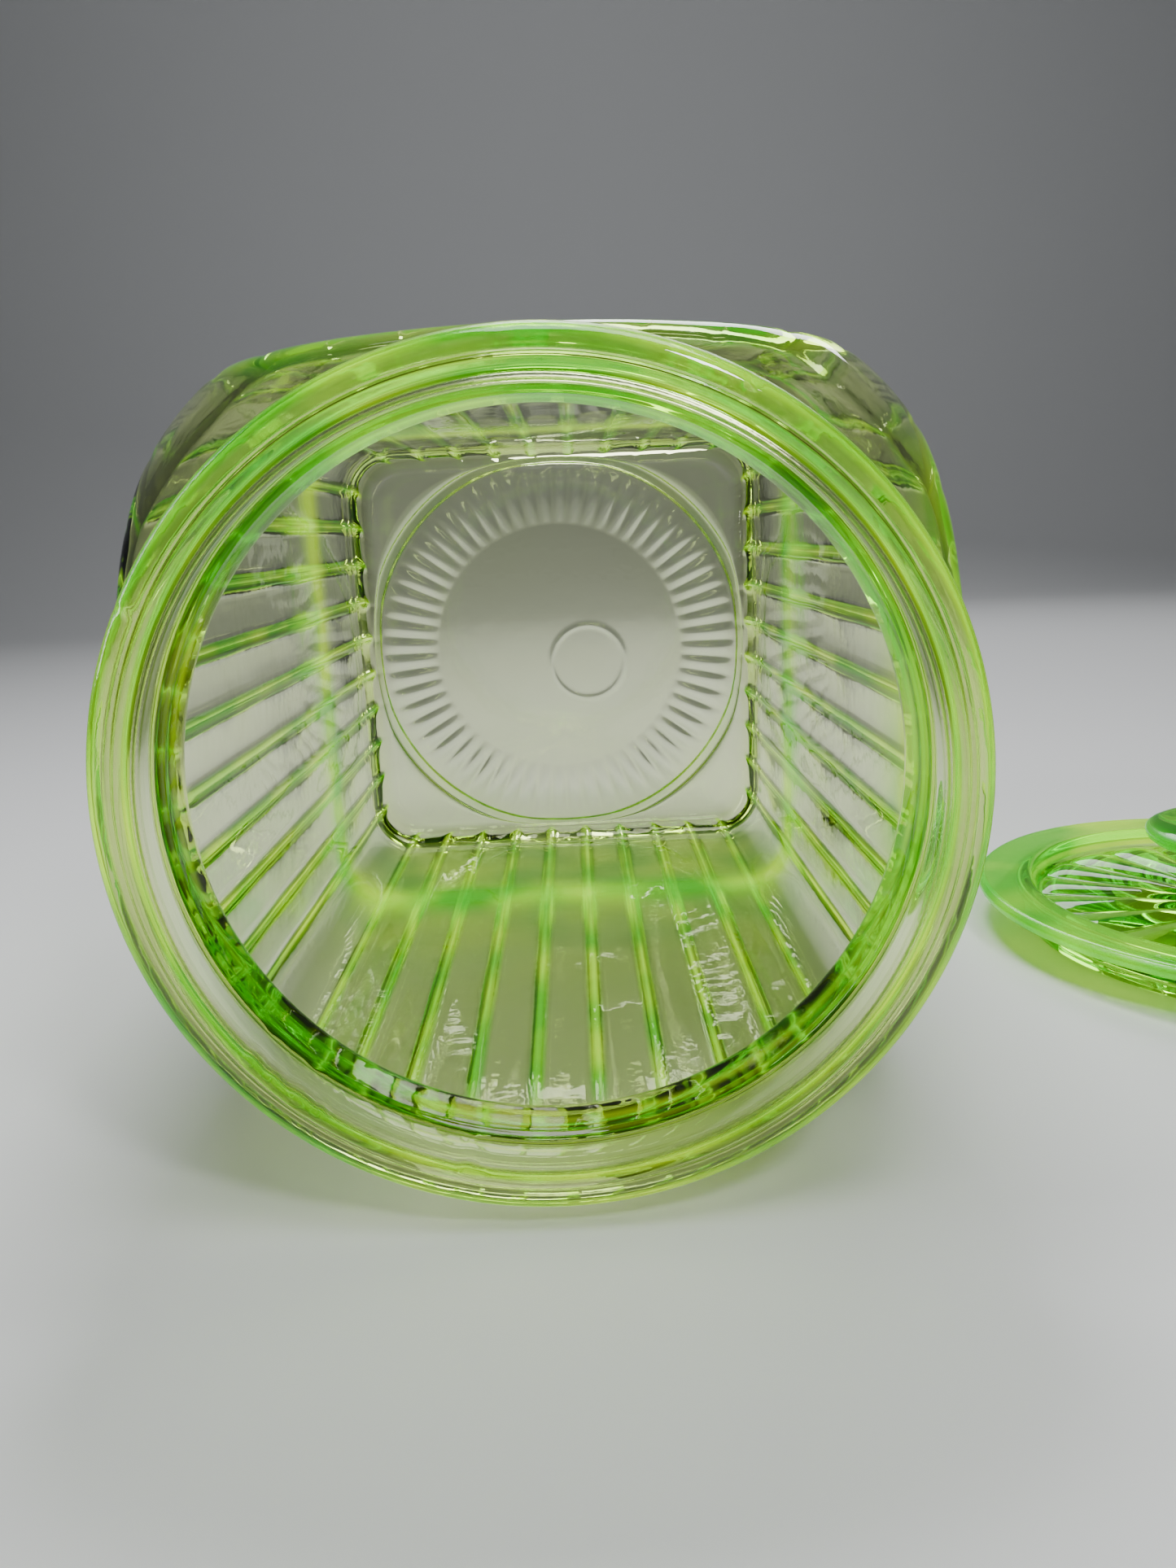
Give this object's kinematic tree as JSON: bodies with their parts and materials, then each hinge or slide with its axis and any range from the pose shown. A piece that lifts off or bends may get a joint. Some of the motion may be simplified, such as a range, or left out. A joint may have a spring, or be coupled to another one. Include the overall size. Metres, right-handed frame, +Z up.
{
  "type": "lidded glass jar",
  "caption": "Square ribbed pressed-glass storage jar lying on one side, with a round wide mouth, and its loose round lid with a disc knob lying beside it.",
  "frame": {"origin": "on the standing surface, at the middle of the rib that the jar lies on, halfway along the jar", "axes": "+Z up, +Y along the jar's axis from the mouth to the base, +X towards the lid beside the jar"},
  "size_m": [0.2896, 0.212, 0.128],
  "materials": {
    "jar_glass": "clear yellow-green uranium glass",
    "lid_glass": "clear yellow-green uranium glass"
  },
  "bodies": {
    "jar": {"jar": "jar_glass"},
    "lid": {"lid": "lid_glass"}
  },
  "joints": [
    {"name": "lid_lift", "type": "slide", "parent": "jar", "child": "lid", "axis": [0, 0, 1], "range_m": [0, 0.15]}
  ]
}
